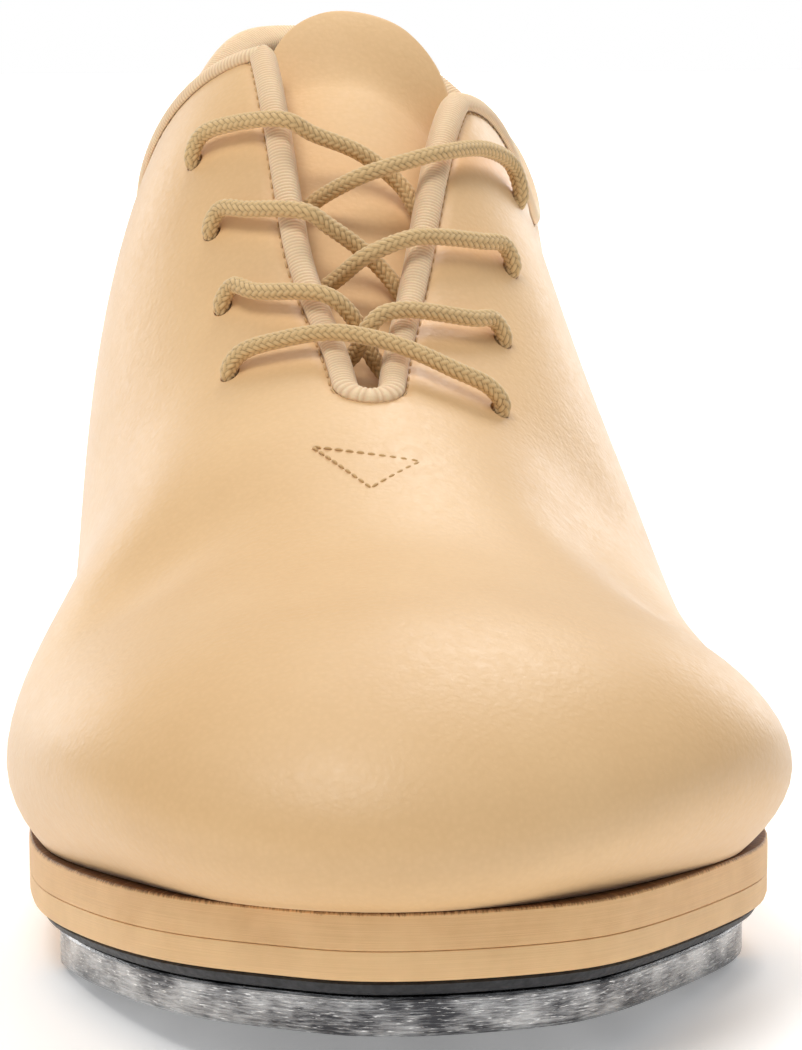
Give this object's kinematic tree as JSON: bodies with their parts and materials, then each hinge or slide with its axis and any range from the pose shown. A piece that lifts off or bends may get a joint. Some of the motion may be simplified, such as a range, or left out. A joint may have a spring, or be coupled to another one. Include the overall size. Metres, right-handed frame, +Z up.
{
  "type": "tap shoe",
  "caption": "Low lace-up tan leather dance shoe for the left foot, with knit-bound opening, stacked heel and aluminium plates under toe and heel.",
  "frame": {"origin": "on the floor, under the middle of the shoe's box", "axes": "+Z up, toe towards -Y, heel towards +Y, +X towards the outer side of the left foot"},
  "size_m": [0.0934, 0.2616, 0.1095],
  "materials": {
    "tan_leather": "semi-gloss grain leather",
    "lining_cloth": "matte woven lining",
    "binding_knit": "ribbed knit tape",
    "lace_cord": "braided cord",
    "lace_tip": "clear tip",
    "sole_leather": "trimmed and sanded edge",
    "heel_leather": "stacked and sanded edge",
    "black_board": "matte fibreboard",
    "tap_metal": "brushed, scratched in use",
    "screw_steel": "satin",
    "shank_steel": "satin",
    "fibre_board": "matte bonded leather board",
    "cork": "matte ground cork",
    "foam": "matte soft foam"
  },
  "bodies": {
    "shoe": {"upper": "tan_leather", "lining": "lining_cloth", "toe_puff": "fibre_board", "heel_counter": "fibre_board", "topline_binding": "binding_knit", "lace": "lace_cord", "lace_end_medial": "lace_cord", "lace_end_lateral": "lace_cord", "aglet_medial": "lace_tip", "aglet_lateral": "lace_tip", "sock_lining": "lining_cloth", "heel_cushion": "foam", "insole_board": "fibre_board", "bottom_filler": "cork", "shank": "shank_steel", "shank_rivet_1": "shank_steel", "shank_rivet_2": "shank_steel", "midsole": "sole_leather", "outsole": "sole_leather", "heel_nail_1": "shank_steel", "heel_nail_2": "shank_steel", "heel_nail_3": "shank_steel", "heel_nail_4": "shank_steel", "heel_lift_1": "heel_leather", "heel_lift_2": "heel_leather", "heel_lift_3": "heel_leather", "toe_tap_board": "black_board", "toe_tap": "tap_metal", "toe_tap_screw_1": "screw_steel", "toe_tap_screw_2": "screw_steel", "toe_tap_screw_3": "screw_steel", "heel_tap_board": "black_board", "heel_tap": "tap_metal", "heel_tap_screw_1": "screw_steel", "heel_tap_screw_2": "screw_steel", "heel_tap_screw_3": "screw_steel"},
    "tongue": {"tongue": "tan_leather", "tongue_lining": "lining_cloth"}
  },
  "joints": [
    {"name": "tongue_hinge", "type": "hinge", "parent": "shoe", "child": "tongue", "pos_m": [0, -0.0522, 0.0556], "axis": [1, 0, 0], "range_deg": [-8, 0], "stiffness_Nm_per_rad": 0.4}
  ]
}
